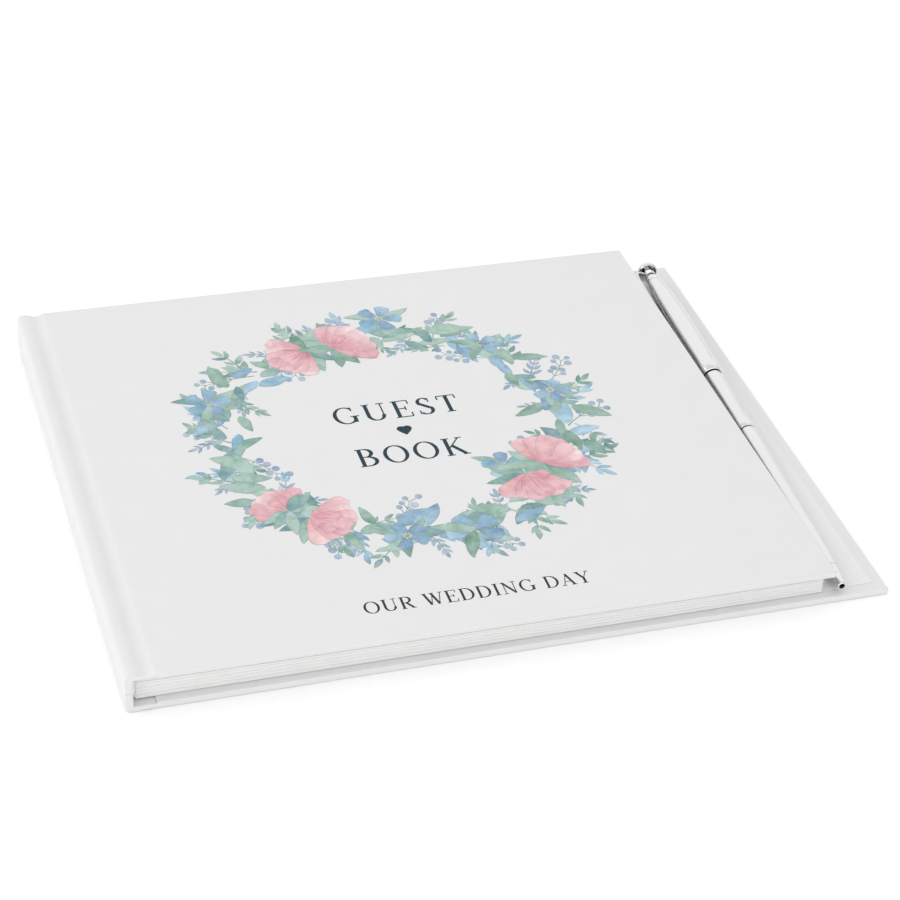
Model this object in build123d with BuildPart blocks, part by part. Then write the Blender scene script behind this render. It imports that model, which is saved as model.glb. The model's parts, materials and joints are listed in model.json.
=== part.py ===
from build123d import *
import math
import os

os.makedirs("parts", exist_ok=True)

# Case-bound guest book with a wide back cover that carries a slim twist pen.
# X runs across the width (spine at -X), Y towards the head, Z up.
# The origin is under the centre of the closed book, on the surface it lies on.

# overall sizes
bookWidth = 180.0       # spine face to the outer edge of the pen ledge
bookHeight = 150.0      # tail to head
spineHeight = 10.2      # thickness at the spine
foreHeight = 9.08       # thickness at the front cover's fore edge
frontWidth = 166.0      # spine face to the front cover's fore edge

# cover build-up
boardThick = 1.5
wrapThick = 0.12        # laminated paper wrap
pasteThick = 0.1        # pastedown
turnIn = 15.0           # wrap folded over onto the inner face
pasteMargin = 3.0       # wrap left showing round the pastedown
jointStart = 6.9        # spine face to the spine edge of both boards

# text block
square = 2.2            # cover overhang at head and tail
foreSquare = 1.9        # front cover overhang at the fore edge
blockStart = 2.8        # spine face to the back of the text block
liningThick = 0.3
leafThick = 0.2
leafGap = 0.05          # air between bodies that lie on each other
looseLeaves = 4         # flyleaf and three leaves that turn with the cover
sectionCount = 6
leafHingeAt = 8.0       # spine face to the line where the loose leaves bend
hingeRelief = 0.1

# spine piece
spineThick = 1.9
spineCorner = 1.2
spineBoardThick = 1.35
spineFloorGap = 0.12
spineBoardGap = 1.1
jointDip = 0.7          # depth of the groove between spine and board
jointClothThick = 0.25

# pen
penTip = Vector(78.3, -74.1, 3.8)
penYaw = 1.41           # degrees, crown end turned away from the book
penPitch = 0.73         # degrees, crown end raised
refillClear = 0.1
turnClear = 0.05

spineX = -bookWidth / 2
boardX = spineX + jointStart
ledgeX = bookWidth / 2
frontX = spineX + frontWidth
halfHeight = bookHeight / 2
coverThick = boardThick + 2 * wrapThick
blockX = spineX + blockStart
blockForeX = frontX - foreSquare
blockHalf = halfHeight - square
leafX = spineX + leafHingeAt
slope = (spineHeight - foreHeight) / frontWidth


def topAt(x):
    # height of the front cover's outer face
    return spineHeight - slope * (x - spineX)


def innerAt(x):
    # height of the front cover's inner face, under its pastedown
    return topAt(x) - coverThick - pasteThick


def band(x0, x1, low, high):
    # side view of a flat piece between two heights, each given along the width
    return [(x0, low(x0)), (x1, low(x1)), (x1, high(x1)), (x0, high(x0))]


def level(z):
    return lambda x: z


def below(surface, depth):
    return lambda x: surface(x) - depth


def save(piece, label):
    piece.part.label = label
    export_step(piece.part, f"parts/{label}.step")


def flatPiece(label, sideView, half):
    with BuildPart() as piece:
        with BuildSketch(Plane.XZ):
            Polygon(*sideView, align=None)
        extrude(amount=half, both=True)
    save(piece, label)


def coverWrap(label, x0, x1, outer, inner, openLow, openHigh):
    # paper skin on the outer face and three edges, folded in round the inner face
    with BuildPart() as piece:
        with BuildSketch(Plane.XZ):
            Polygon(*band(x0, x1, outer[0], outer[1]), align=None)
        extrude(amount=halfHeight, both=True)
        with BuildSketch(Plane.XZ):
            Polygon(*band(x0, x1 - wrapThick, inner[0], inner[1]), align=None)
        extrude(amount=halfHeight - wrapThick, both=True, mode=Mode.SUBTRACT)
        with BuildSketch(Plane.XZ):
            Polygon(*band(x0, x1 - turnIn, openLow, openHigh), align=None)
        extrude(amount=halfHeight - turnIn, both=True, mode=Mode.SUBTRACT)
    save(piece, label)


def pastedown(label, x0, x1, faceLow, faceHigh, fillLow, fillHigh):
    # sheet over the turned-in wrap, pressed down onto the board inside it
    with BuildPart() as piece:
        with BuildSketch(Plane.XZ):
            Polygon(*band(x0, x1 - pasteMargin, faceLow, faceHigh), align=None)
        extrude(amount=halfHeight - pasteMargin, both=True)
        with BuildSketch(Plane.XZ):
            Polygon(*band(x0, x1 - turnIn, fillLow, fillHigh), align=None)
        extrude(amount=halfHeight - turnIn, both=True)
    save(piece, label)


# back cover, flat on the surface, with the pen ledge beyond the text block
flatPiece("back_board", band(boardX, ledgeX - wrapThick, level(wrapThick), level(wrapThick + boardThick)),
          halfHeight - wrapThick)
coverWrap("back_cover_wrap", boardX, ledgeX, (level(0), level(coverThick)),
          (level(wrapThick), level(wrapThick + boardThick)),
          level(wrapThick + boardThick), level(coverThick))
pastedown("back_pastedown", boardX, ledgeX, level(coverThick), level(coverThick + pasteThick),
          level(coverThick - wrapThick), level(coverThick))

# front cover, resting on the leaves and falling slightly towards the fore edge
boardTop = below(topAt, wrapThick)
boardUnder = below(topAt, wrapThick + boardThick)
coverUnder = below(topAt, coverThick)
flatPiece("front_board", band(boardX, frontX - wrapThick, boardUnder, boardTop), halfHeight - wrapThick)
coverWrap("front_cover_wrap", boardX, frontX, (coverUnder, topAt), (boardUnder, boardTop),
          coverUnder, boardUnder)
pastedown("front_pastedown", boardX, frontX, innerAt, coverUnder, coverUnder, boardUnder)

# loose leaves: the flyleaf and three leaves, each bending at the same line near the spine
leafNames = ["front_flyleaf", "leaf_1", "leaf_2", "leaf_3"]
for order, name in enumerate(leafNames):
    leafTop = leafGap + order * (leafThick + leafGap)
    flatPiece(name, band(leafX + hingeRelief, blockForeX, below(innerAt, leafTop + leafThick),
                         below(innerAt, leafTop)), blockHalf)
leafPack = leafGap + looseLeaves * (leafThick + leafGap)
flatPiece("front_leaf_margins", band(blockX, leafX - hingeRelief, below(innerAt, leafPack),
                                     below(innerAt, leafGap)), blockHalf)

# rear flyleaf and sewn page sections, thinner towards the fore edge
flyleafUnder = coverThick + pasteThick + leafGap
flyleafTop = flyleafUnder + leafThick
flatPiece("rear_flyleaf", band(blockX, blockForeX, level(flyleafUnder), level(flyleafTop)), blockHalf)


def sectionLevel(count):
    # height of the face above the given number of sections
    return lambda x: flyleafTop + (innerAt(x) - leafPack - flyleafTop) * count / sectionCount


for count in range(sectionCount):
    flatPiece(f"page_section_{count + 1}",
              band(blockX, blockForeX, sectionLevel(count), sectionLevel(count + 1)), blockHalf)

# gauze and paper glued down the back of the sections
flatPiece("spine_lining", band(blockX - liningThick, blockX, level(flyleafUnder), below(innerAt, leafGap)),
          blockHalf)

# spine: a board strip closed in its paper wrap, rounded at the outer corners
stripX = spineX + wrapThick
stripTop = spineHeight - spineBoardGap
with BuildPart() as spineBoard:
    with BuildSketch(Plane.XZ):
        Polygon((stripX, spineBoardGap), (stripX + spineBoardThick, spineBoardGap),
                (stripX + spineBoardThick, stripTop), (stripX, stripTop), align=None)
    extrude(amount=halfHeight - wrapThick, both=True)
save(spineBoard, "spine_board")

with BuildPart() as spineWrap:
    with BuildSketch(Plane.XZ):
        Polygon((spineX, spineFloorGap), (spineX + spineThick, spineFloorGap),
                (spineX + spineThick, spineHeight), (spineX, spineHeight), align=None)
    extrude(amount=halfHeight, both=True)
    fillet(spineWrap.edges().filter_by(Axis.Y).group_by(Axis.X)[0], radius=spineCorner)
    with BuildSketch(Plane.XZ):
        Polygon((stripX, spineBoardGap), (stripX + spineBoardThick, spineBoardGap),
                (stripX + spineBoardThick, stripTop), (stripX, stripTop), align=None)
    extrude(amount=halfHeight - wrapThick, both=True, mode=Mode.SUBTRACT)
save(spineWrap, "spine_wrap")


def jointCloth(label, endLevel, dipLevel):
    # wrap pressed into the groove between the spine piece and a board
    start = spineX + spineThick + hingeRelief
    end = boardX - hingeRelief
    middle = (start + end) / 2
    with BuildPart() as piece:
        with BuildSketch(Plane.XZ):
            with BuildLine():
                lower = ThreePointArc((start, endLevel), (middle, dipLevel), (end, endLevel))
                upper = ThreePointArc((start, endLevel + jointClothThick), (middle, dipLevel + jointClothThick),
                                      (end, endLevel + jointClothThick))
                Line(lower @ 0, upper @ 0)
                Line(lower @ 1, upper @ 1)
            make_face()
        extrude(amount=halfHeight, both=True)
    save(piece, label)


jointCloth("rear_joint_cloth", spineFloorGap, spineFloorGap + jointDip)
jointTop = topAt(boardX) - jointClothThick
jointCloth("front_joint_cloth", jointTop, jointTop - jointDip)

# pen frame: the profile plane's x is the radius (towards the book), its y the distance from the tip
yaw = math.radians(penYaw)
pitch = math.radians(penPitch)
penLine = Vector(math.sin(yaw) * math.cos(pitch), math.cos(yaw) * math.cos(pitch), math.sin(pitch))
penSide = Vector(-math.cos(yaw), math.sin(yaw), 0)
penProfile = Plane(origin=penTip, x_dir=penSide, z_dir=penSide.cross(penLine))
penAxis = Axis(penTip, penLine)
penPlane = Plane(origin=penTip, x_dir=penSide, z_dir=penLine)

# stations along the pen, from the writing end
noseEnd = 6.5
gripEnd = 62.8
sleeveStart = 63.3
sleeveEnd = 88.5
sleeveTop = 98.0
barrelStart = 88.8
barrelEnd = 136.0
collarEnd = 137.0
crownStart = 141.0
crownEnd = 143.0
mechanismStart = 100.0
mechanismEnd = 127.0
refillShoulder = 10.0
refillTipStart = 2.2
tubeEnd = 99.0
plugEnd = 106.0

# radii
refillRadius = 1.15
tipRadius = 0.6
boreRadius = refillRadius + refillClear
spigotRadius = 1.8
turnRadius = 1.9
stemRadius = 1.1


def turnedPiece(label, outline, bores, smooth=True):
    # solid of revolution about the pen's axis, with its bores given as (radius, from, to)
    first = outline[0][1]
    last = outline[-1][1]
    with BuildPart() as piece:
        with BuildSketch(penProfile):
            with BuildLine():
                if smooth:
                    Spline(*outline)
                else:
                    Polyline(*outline)
                Polyline(outline[-1], (0, last), (0, first), outline[0])
            make_face()
        revolve(axis=penAxis)
        for radius, start, end in bores:
            with BuildSketch(penPlane.offset(start)):
                Circle(radius)
            extrude(amount=end - start, mode=Mode.SUBTRACT)
    save(piece, label)


turnedPiece("pen_nose_tip", [(0.95, 0), (1.3, 2.6), (1.6, noseEnd)],
            [(tipRadius + refillClear, 0, 5.5), (boreRadius, 5.5, noseEnd)])
turnedPiece("pen_lower_barrel", [(1.6, noseEnd), (1.93, 13), (2.05, 24), (2.15, 41), (2.42, gripEnd)],
            [(boreRadius, noseEnd, gripEnd), (spigotRadius, gripEnd - 6, gripEnd)])
turnedPiece("pen_centre_sleeve",
            [(spigotRadius, gripEnd - 6), (spigotRadius, sleeveStart), (2.4, sleeveStart), (2.35, 74),
             (2.5, sleeveEnd), (turnRadius, sleeveEnd), (turnRadius, sleeveTop)],
            [(boreRadius, gripEnd - 6, sleeveTop)], smooth=False)
turnedPiece("pen_upper_barrel", [(2.85, barrelStart), (3.1, 100), (3.3, 113), (2.95, 127), (1.95, barrelEnd)],
            [(turnRadius + turnClear, barrelStart, mechanismEnd), (stemRadius, mechanismEnd, barrelEnd)])
turnedPiece("pen_twist_mechanism",
            [(turnRadius + turnClear, mechanismStart), (turnRadius + turnClear, mechanismEnd)],
            [(boreRadius, mechanismStart, plugEnd + 4)], smooth=False)
turnedPiece("pen_collar", [(2.05, barrelEnd), (2.05, collarEnd)], [(stemRadius, barrelEnd, collarEnd)],
            smooth=False)

# crown: a stem through the collar with a rounded button on its end
with BuildPart() as crown:
    with BuildSketch(penPlane.offset(mechanismEnd)):
        Circle(stemRadius)
    extrude(amount=crownStart - mechanismEnd)
    with BuildSketch(penPlane.offset(crownStart)):
        Circle(2.75)
    extrude(amount=crownEnd - crownStart)
    rims = crown.edges().filter_by(GeomType.CIRCLE).sort_by(Axis(penTip, penLine))
    fillet([edge for edge in rims if edge.radius > stemRadius + 1], radius=0.6)
save(crown, "pen_crown")

# clip: a band round the stem, a shoulder out to the side and a long arm beside the barrel
clipBandStart = collarEnd + 0.15
clipBandEnd = clipBandStart + 2.15
clipBandRadius = 1.75
clipShoulder = crownStart - 0.7
clipInner = 3.75
clipThick = 0.55
clipWidth = 2.2
clipTip = 106.0
with BuildPart() as clip:
    with BuildSketch(penPlane.offset(clipBandStart)):
        Circle(clipBandRadius)
    extrude(amount=clipBandEnd - clipBandStart)
    with BuildSketch(penProfile):
        with BuildLine():
            Polyline((0, clipBandStart + 0.9), (clipInner - 0.6, clipBandStart + 0.9),
                     (clipInner, clipBandStart - 0.5), (clipInner, clipTip), (clipInner + clipThick, clipTip),
                     (clipInner + clipThick, clipShoulder - 1.1), (clipInner - 0.15, clipShoulder),
                     (clipBandRadius + 0.5, clipShoulder), (clipBandRadius - 0.5, clipBandEnd), (0, clipBandEnd),
                     close=True)
        make_face()
    extrude(amount=clipWidth / 2, both=True)
    with BuildSketch(penPlane.offset(clipBandStart)):
        Circle(stemRadius + turnClear)
    extrude(amount=clipBandEnd - clipBandStart, mode=Mode.SUBTRACT)
save(clip, "pen_clip")

# refill: needle end, ink tube and the plug that the mechanism pushes
turnedPiece("refill_tip", [(0.4, refillTipStart), (tipRadius, refillTipStart + 1.2), (tipRadius, refillShoulder)],
            [], smooth=False)
turnedPiece("refill_tube", [(refillRadius, refillShoulder), (refillRadius, tubeEnd)], [], smooth=False)
turnedPiece("refill_plug", [(refillRadius, tubeEnd), (refillRadius, plugEnd)], [], smooth=False)
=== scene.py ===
import itertools
import json
import math
import random

import bmesh
import bpy
from mathutils import Matrix, Vector


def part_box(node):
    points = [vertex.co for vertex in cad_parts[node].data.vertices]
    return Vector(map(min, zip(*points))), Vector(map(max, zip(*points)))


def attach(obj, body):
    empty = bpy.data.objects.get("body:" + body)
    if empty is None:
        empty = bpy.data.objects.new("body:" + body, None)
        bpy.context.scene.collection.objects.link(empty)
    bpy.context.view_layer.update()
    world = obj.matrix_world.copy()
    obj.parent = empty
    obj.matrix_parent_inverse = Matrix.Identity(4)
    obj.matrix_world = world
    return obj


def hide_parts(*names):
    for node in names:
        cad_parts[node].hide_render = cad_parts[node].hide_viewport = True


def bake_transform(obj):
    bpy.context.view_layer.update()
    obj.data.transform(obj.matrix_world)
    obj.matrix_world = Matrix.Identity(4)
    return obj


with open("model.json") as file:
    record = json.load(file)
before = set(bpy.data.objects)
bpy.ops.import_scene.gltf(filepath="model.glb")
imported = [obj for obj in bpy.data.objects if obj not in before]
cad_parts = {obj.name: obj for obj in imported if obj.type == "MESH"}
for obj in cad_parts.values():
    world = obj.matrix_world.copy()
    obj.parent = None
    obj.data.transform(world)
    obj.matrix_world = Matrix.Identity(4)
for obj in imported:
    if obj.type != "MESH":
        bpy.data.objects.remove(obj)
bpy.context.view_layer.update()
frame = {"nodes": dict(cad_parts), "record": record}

scene = bpy.context.scene
mm = 0.001

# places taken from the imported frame
backLow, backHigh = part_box("back_cover_wrap")
frontLow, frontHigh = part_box("front_cover_wrap")
spineLow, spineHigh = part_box("spine_wrap")
blockLow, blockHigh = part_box("page_section_1")
joints = {joint["name"]: joint for joint in frame["record"]["behaviour"]["joints"]}
coverThick = backHigh.z - backLow.z
coverFall = (frontHigh.z - frontLow.z - coverThick) / (frontHigh.x - frontLow.x)
halfHeight = backHigh.y
sectionCount = sum(1 for name in frame["nodes"] if name.startswith("page_section_"))


def coverTop(x):
    # height of the front cover's outer face, which falls slightly to the fore edge
    return frontHigh.z - coverFall * (x - frontLow.x)


# camera and studio

studio = {
    "aim": (6.9 * mm, 5.0 * mm, 0.0),
    "azimuth": 18.17, "elevation": 34.7, "roll": 2.91,     # degrees
    "distance": 0.6451, "lens": 103.3, "sensor": 36, "nearClip": 0.01,
    # each softbox: place, size in metres, watts
    "softboxes": {
        "backSoftbox": ((0.3, 1.1, 0.9), (2.6, 1.3), 2.8),
        "spineSoftbox": ((-1.15, -0.1, 0.6), (1.9, 1.1), 5.8),
        "tailFill": ((0.1, -1.1, 0.7), (1.6, 0.8), 3.0),
    },
    "skyStrength": 0.91,
    "floorColour": "#fbfbfb", "floorHalf": 4.0, "floorDrop": 0.02 * mm,
}


def makeCamera():
    turn = math.radians(studio["azimuth"])
    rise = math.radians(studio["elevation"])
    away = Vector((-math.sin(turn), -math.cos(turn), 0)) * math.cos(rise) + Vector((0, 0, math.sin(rise)))
    data = bpy.data.cameras.new("bookCamera")
    data.lens = studio["lens"]
    data.sensor_width = studio["sensor"]
    data.clip_start = studio["nearClip"]
    camera = bpy.data.objects.new("bookCamera", data)
    scene.collection.objects.link(camera)
    camera.rotation_mode = "QUATERNION"
    camera.location = Vector(studio["aim"]) + away * studio["distance"]
    roll = Matrix.Rotation(math.radians(studio["roll"]), 3, "Z").to_quaternion()
    camera.rotation_quaternion = (-away).to_track_quat("-Z", "Y") @ roll
    scene.camera = camera


def makeSoftbox(name, place, size, watts):
    data = bpy.data.lights.new(name, "AREA")
    data.shape = "RECTANGLE"
    data.size, data.size_y = size
    data.energy = watts
    light = bpy.data.objects.new(name, data)
    light.location = place
    light.rotation_mode = "QUATERNION"
    light.rotation_quaternion = (-Vector(place)).to_track_quat("-Z", "Y")     # towards the book
    scene.collection.objects.link(light)


def makeSky():
    world = bpy.data.worlds.new("studioSky")
    world.use_nodes = True
    background = world.node_tree.nodes["Background"]
    background.inputs["Color"].default_value = (1, 1, 1, 1)
    background.inputs["Strength"].default_value = studio["skyStrength"]
    scene.world = world
    scene.view_settings.view_transform = "Standard"


makeCamera()
for name, (place, size, watts) in studio["softboxes"].items():
    makeSoftbox(name, place, size, watts)
makeSky()
print("camera and lights placed")


# materials

def toLinear(hexColour):
    # an sRGB hex colour as linear RGBA
    parts = [int(hexColour[i:i + 2], 16) / 255 for i in (1, 3, 5)]
    return [p / 12.92 if p <= 0.04045 else ((p + 0.055) / 1.055) ** 2.4 for p in parts] + [1.0]


def addNode(tree, kind, settings=None, links=None):
    node = tree.nodes.new(kind)
    for key, value in (settings or {}).items():
        if isinstance(key, int) or key in node.inputs:
            node.inputs[key].default_value = value
        else:
            setattr(node, key, value)
    for key, source in (links or {}).items():
        tree.links.new(source, node.inputs[key])
    return node


def startMaterial(name, settings):
    # a material with its principled shader set, and object coordinates to pattern it by
    material = bpy.data.materials.new(name)
    material.use_nodes = True
    tree = material.node_tree
    shader = tree.nodes["Principled BSDF"]
    for key, value in settings.items():
        shader.inputs[key].default_value = value
    coords = {"Vector": addNode(tree, "ShaderNodeTexCoord").outputs["Object"]}
    return material, tree, shader, coords


def linkShader(tree, shader, sources):
    for key, source in sources.items():
        tree.links.new(source, shader.inputs[key])


def twoTone(first, second):
    # settings of a colour mix between two hex colours
    return {"data_type": "RGBA", 6: toLinear(first), 7: toLinear(second)}


def patternScale(millimetres):
    # noise scale on metre coordinates for features of this size
    return 1.0 / (millimetres * mm)


# polypropylene film with a satin finish, over the cover paper and its print alike
satinFilm = {"Roughness": 0.42, "IOR": 1.49, "Coat Weight": 0.25, "Coat Roughness": 0.32, "Coat IOR": 1.5}


def makeLaminate():
    # printed paper under the film: soft highlights, a faint orange peel and slow board waviness
    material, tree, shader, coords = startMaterial("satinLaminatedPaper", satinFilm)
    peel = addNode(tree, "ShaderNodeTexNoise", {"Scale": patternScale(0.9), "Detail": 3.0}, coords)
    fibre = addNode(tree, "ShaderNodeTexNoise",
                    {"Scale": patternScale(9.0), "Detail": 5.0, "Roughness": 0.6}, coords)
    wave = addNode(tree, "ShaderNodeTexNoise", {"Scale": patternScale(60.0), "Detail": 1.0}, coords)
    tint = addNode(tree, "ShaderNodeMix", twoTone("#d6d6d7", "#dbdbdb"), {0: fibre.outputs["Fac"]})
    fine = addNode(tree, "ShaderNodeBump", {"Strength": 0.5, "Distance": 0.006 * mm},
                   {"Height": peel.outputs["Fac"]})
    slow = addNode(tree, "ShaderNodeBump", {"Strength": 1.0, "Distance": 0.35 * mm},
                   {"Height": wave.outputs["Fac"], "Normal": fine.outputs["Normal"]})
    linkShader(tree, shader, {"Base Color": tint.outputs[2], "Normal": slow.outputs["Normal"]})
    return material


def makePaper(name, light, dark, fibreSize, roughness):
    # uncoated writing paper: matt, cloudy formation and short fibres
    material, tree, shader, coords = startMaterial(name, {
        "Roughness": roughness, "IOR": 1.5, "Specular IOR Level": 0.3, "Sheen Weight": 0.06})
    clouds = addNode(tree, "ShaderNodeTexNoise",
                     {"Scale": patternScale(4.0), "Detail": 6.0, "Roughness": 0.65}, coords)
    fibres = addNode(tree, "ShaderNodeTexNoise",
                     {"Scale": patternScale(fibreSize), "Detail": 2.0, "Distortion": 1.5}, coords)
    tint = addNode(tree, "ShaderNodeMix", twoTone(dark, light), {0: clouds.outputs["Fac"]})
    bump = addNode(tree, "ShaderNodeBump", {"Strength": 0.6, "Distance": 0.01 * mm},
                   {"Height": fibres.outputs["Fac"]})
    linkShader(tree, shader, {"Base Color": tint.outputs[2], "Normal": bump.outputs["Normal"]})
    return material


def makeBoard():
    # grey millboard: recycled fibres with dark and light flecks
    material, tree, shader, coords = startMaterial("greyMillboard", {"Roughness": 0.9, "IOR": 1.5})
    flecks = addNode(tree, "ShaderNodeTexNoise",
                     {"Scale": patternScale(0.5), "Detail": 8.0, "Roughness": 0.8}, coords)
    tint = addNode(tree, "ShaderNodeMix", twoTone("#7d776d", "#b3ac9f"), {0: flecks.outputs["Fac"]})
    bump = addNode(tree, "ShaderNodeBump", {"Strength": 0.7, "Distance": 0.03 * mm},
                   {"Height": flecks.outputs["Fac"]})
    linkShader(tree, shader, {"Base Color": tint.outputs[2], "Normal": bump.outputs["Normal"]})
    return material


def makeGauze():
    # open-weave mull set in glue: crossed threads every 1.8 mm, as a wave repeats at 0.314 of its size
    material, tree, shader, coords = startMaterial("gluedMull", {"Roughness": 0.85, "IOR": 1.5})
    threads = [addNode(tree, "ShaderNodeTexWave", {"bands_direction": way, "Scale": patternScale(5.6)}, coords)
               for way in ("Y", "Z")]
    weave = addNode(tree, "ShaderNodeMath", {"operation": "MAXIMUM"},
                    {index: thread.outputs["Fac"] for index, thread in enumerate(threads)})
    tint = addNode(tree, "ShaderNodeMix", twoTone("#dedcd3", "#f2f1ec"), {0: weave.outputs[0]})
    bump = addNode(tree, "ShaderNodeBump", {"Strength": 1.0, "Distance": 0.08 * mm},
                   {"Height": weave.outputs[0]})
    linkShader(tree, shader, {"Base Color": tint.outputs[2], "Normal": bump.outputs["Normal"]})
    return material


def makeChrome(name, smooth, worn):
    # chrome plate: its polish varies with hairline wipes and the odd smudge
    material, tree, shader, coords = startMaterial(name, {"Base Color": toLinear("#dcdcdd"), "Metallic": 1.0})
    stretch = addNode(tree, "ShaderNodeMapping", {"Scale": (1.0, 0.06, 1.0)}, coords)
    wipes = addNode(tree, "ShaderNodeTexNoise", {"Scale": patternScale(0.35), "Detail": 4.0},
                    {"Vector": stretch.outputs["Vector"]})
    smudge = addNode(tree, "ShaderNodeTexNoise", {"Scale": patternScale(7.0), "Detail": 3.0}, coords)
    both = addNode(tree, "ShaderNodeMath", {"operation": "MULTIPLY"},
                   {0: wipes.outputs["Fac"], 1: smudge.outputs["Fac"]})
    rough = addNode(tree, "ShaderNodeMapRange",
                    {"From Min": 0.1, "From Max": 0.5, "To Min": smooth, "To Max": worn},
                    {"Value": both.outputs[0]})
    bump = addNode(tree, "ShaderNodeBump", {"Strength": 0.3, "Distance": 0.002 * mm},
                   {"Height": wipes.outputs["Fac"]})
    linkShader(tree, shader, {"Roughness": rough.outputs["Result"], "Normal": bump.outputs["Normal"]})
    return material


def makeMoulded():
    # natural acetal: waxy white, faint flow marks
    material, tree, shader, coords = startMaterial("mouldedAcetal", {"Roughness": 0.5, "IOR": 1.48})
    flow = addNode(tree, "ShaderNodeTexNoise",
                   {"Scale": patternScale(1.5), "Detail": 3.0, "Distortion": 2.0}, coords)
    tint = addNode(tree, "ShaderNodeMix", twoTone("#dcdad2", "#e9e7df"), {0: flow.outputs["Fac"]})
    bump = addNode(tree, "ShaderNodeBump", {"Strength": 0.4, "Distance": 0.01 * mm},
                   {"Height": flow.outputs["Fac"]})
    linkShader(tree, shader, {"Base Color": tint.outputs[2], "Normal": bump.outputs["Normal"]})
    return material


def makeDrawnMetal(name, light, dark):
    # turned or drawn metal: a fine matt grain
    material, tree, shader, coords = startMaterial(name, {"Metallic": 1.0, "Roughness": 0.28})
    grain = addNode(tree, "ShaderNodeTexNoise", {"Scale": patternScale(0.25), "Detail": 3.0}, coords)
    tint = addNode(tree, "ShaderNodeMix", twoTone(dark, light), {0: grain.outputs["Fac"]})
    bump = addNode(tree, "ShaderNodeBump", {"Strength": 0.5, "Distance": 0.004 * mm},
                   {"Height": grain.outputs["Fac"]})
    linkShader(tree, shader, {"Base Color": tint.outputs[2], "Normal": bump.outputs["Normal"]})
    return material


def makeInk():
    # watercolour print under the film: washes take their colour from the shape, and bloom unevenly
    material, tree, shader, coords = startMaterial("printedWatercolour", satinFilm)
    ink = addNode(tree, "ShaderNodeVertexColor", {"layer_name": "ink"})
    blooms = addNode(tree, "ShaderNodeTexNoise",
                     {"Scale": patternScale(3.2), "Detail": 5.0, "Roughness": 0.6, "Distortion": 0.6}, coords)
    shade = addNode(tree, "ShaderNodeMapRange",
                    {"From Min": 0.32, "From Max": 0.68, "To Min": -0.08, "To Max": 0.09},
                    {"Value": blooms.outputs["Fac"]})
    wash = addNode(tree, "ShaderNodeMix",
                   {"data_type": "RGBA", "blend_type": "ADD", "clamp_result": True, 0: 1.0},
                   {6: ink.outputs["Color"], 7: shade.outputs["Result"]})
    linkShader(tree, shader, {"Base Color": wash.outputs[2]})
    return material


def makeLettering(name, light, dark):
    # dark ink, printed flat with slight mottling
    material, tree, shader, coords = startMaterial(name, {
        "Roughness": 0.5, "IOR": 1.45, "Specular IOR Level": 0.2, "Coat Weight": 0.05, "Coat Roughness": 0.4})
    mottle = addNode(tree, "ShaderNodeTexNoise", {"Scale": patternScale(0.6), "Detail": 3.0}, coords)
    tint = addNode(tree, "ShaderNodeMix", twoTone(dark, light), {0: mottle.outputs["Fac"]})
    linkShader(tree, shader, {"Base Color": tint.outputs[2]})
    return material


def makeSweep():
    # matt white paper sweep under the book
    material, tree, shader, coords = startMaterial("palePaperSweep", {
        "Roughness": 0.9, "IOR": 1.45, "Specular IOR Level": 0.1})
    grain = addNode(tree, "ShaderNodeTexNoise", {"Scale": patternScale(5.0), "Detail": 3.0}, coords)
    tint = addNode(tree, "ShaderNodeMix", twoTone(studio["floorColour"], "#ffffff"), {0: grain.outputs["Fac"]})
    linkShader(tree, shader, {"Base Color": tint.outputs[2]})
    return material


laminate = makeLaminate()
endpaper = makePaper("uncoatedEndpaper", "#e6e6e6", "#dfdfdf", 0.35, 0.82)
pagePaper = makePaper("writingPaper", "#ebebea", "#e2e2e1", 0.3, 0.85)
board = makeBoard()
gauze = makeGauze()
chrome = makeChrome("brightChromePlate", 0.05, 0.12)
satinChrome = makeChrome("satinChromePlate", 0.2, 0.3)
acetal = makeMoulded()
# the refill tip's brass is painted darker than bare brass: painted shade standing in for the dark inside the
# nose's bore
boreShadeBrass = makeDrawnMetal("turnedBrass", "#8c6f3a", "#624c26")
steel = makeDrawnMetal("drawnSteel", "#c4c4c6", "#9a9a9d")
watercolour = makeInk()
slateInk = makeLettering("slateInk", "#1f3b47", "#142c36")
charcoalInk = makeLettering("charcoalInk", "#333333", "#222222")
print("materials made")


# finishing a piece, and the floor

def finishPiece(name, bm, material, smoothAngle=None):
    # turns a bmesh into a linked object, smooth up to an angle
    mesh = bpy.data.meshes.new(name)
    bm.to_mesh(mesh)
    bm.free()
    mesh.materials.append(material)
    if smoothAngle is not None:
        mesh.shade_smooth()
        mesh.set_sharp_from_angle(angle=math.radians(smoothAngle))
    piece = bpy.data.objects.new(name, mesh)
    scene.collection.objects.link(piece)
    return piece


def makeFloor():
    bm = bmesh.new()
    bmesh.ops.create_grid(bm, x_segments=1, y_segments=1, size=studio["floorHalf"])
    bmesh.ops.translate(bm, vec=(0, 0, -studio["floorDrop"]), verts=bm.verts)
    finishPiece("paleFloor", bm, makeSweep())


makeFloor()


# shapes that several pieces share

def arc(centre, radius, start, end, steps):
    # points (x, z) round a centre, angles in degrees
    turns = [math.radians(start + (end - start) * i / steps) for i in range(steps + 1)]
    return [(centre[0] + radius * math.cos(t), centre[1] + radius * math.sin(t)) for t in turns]


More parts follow.
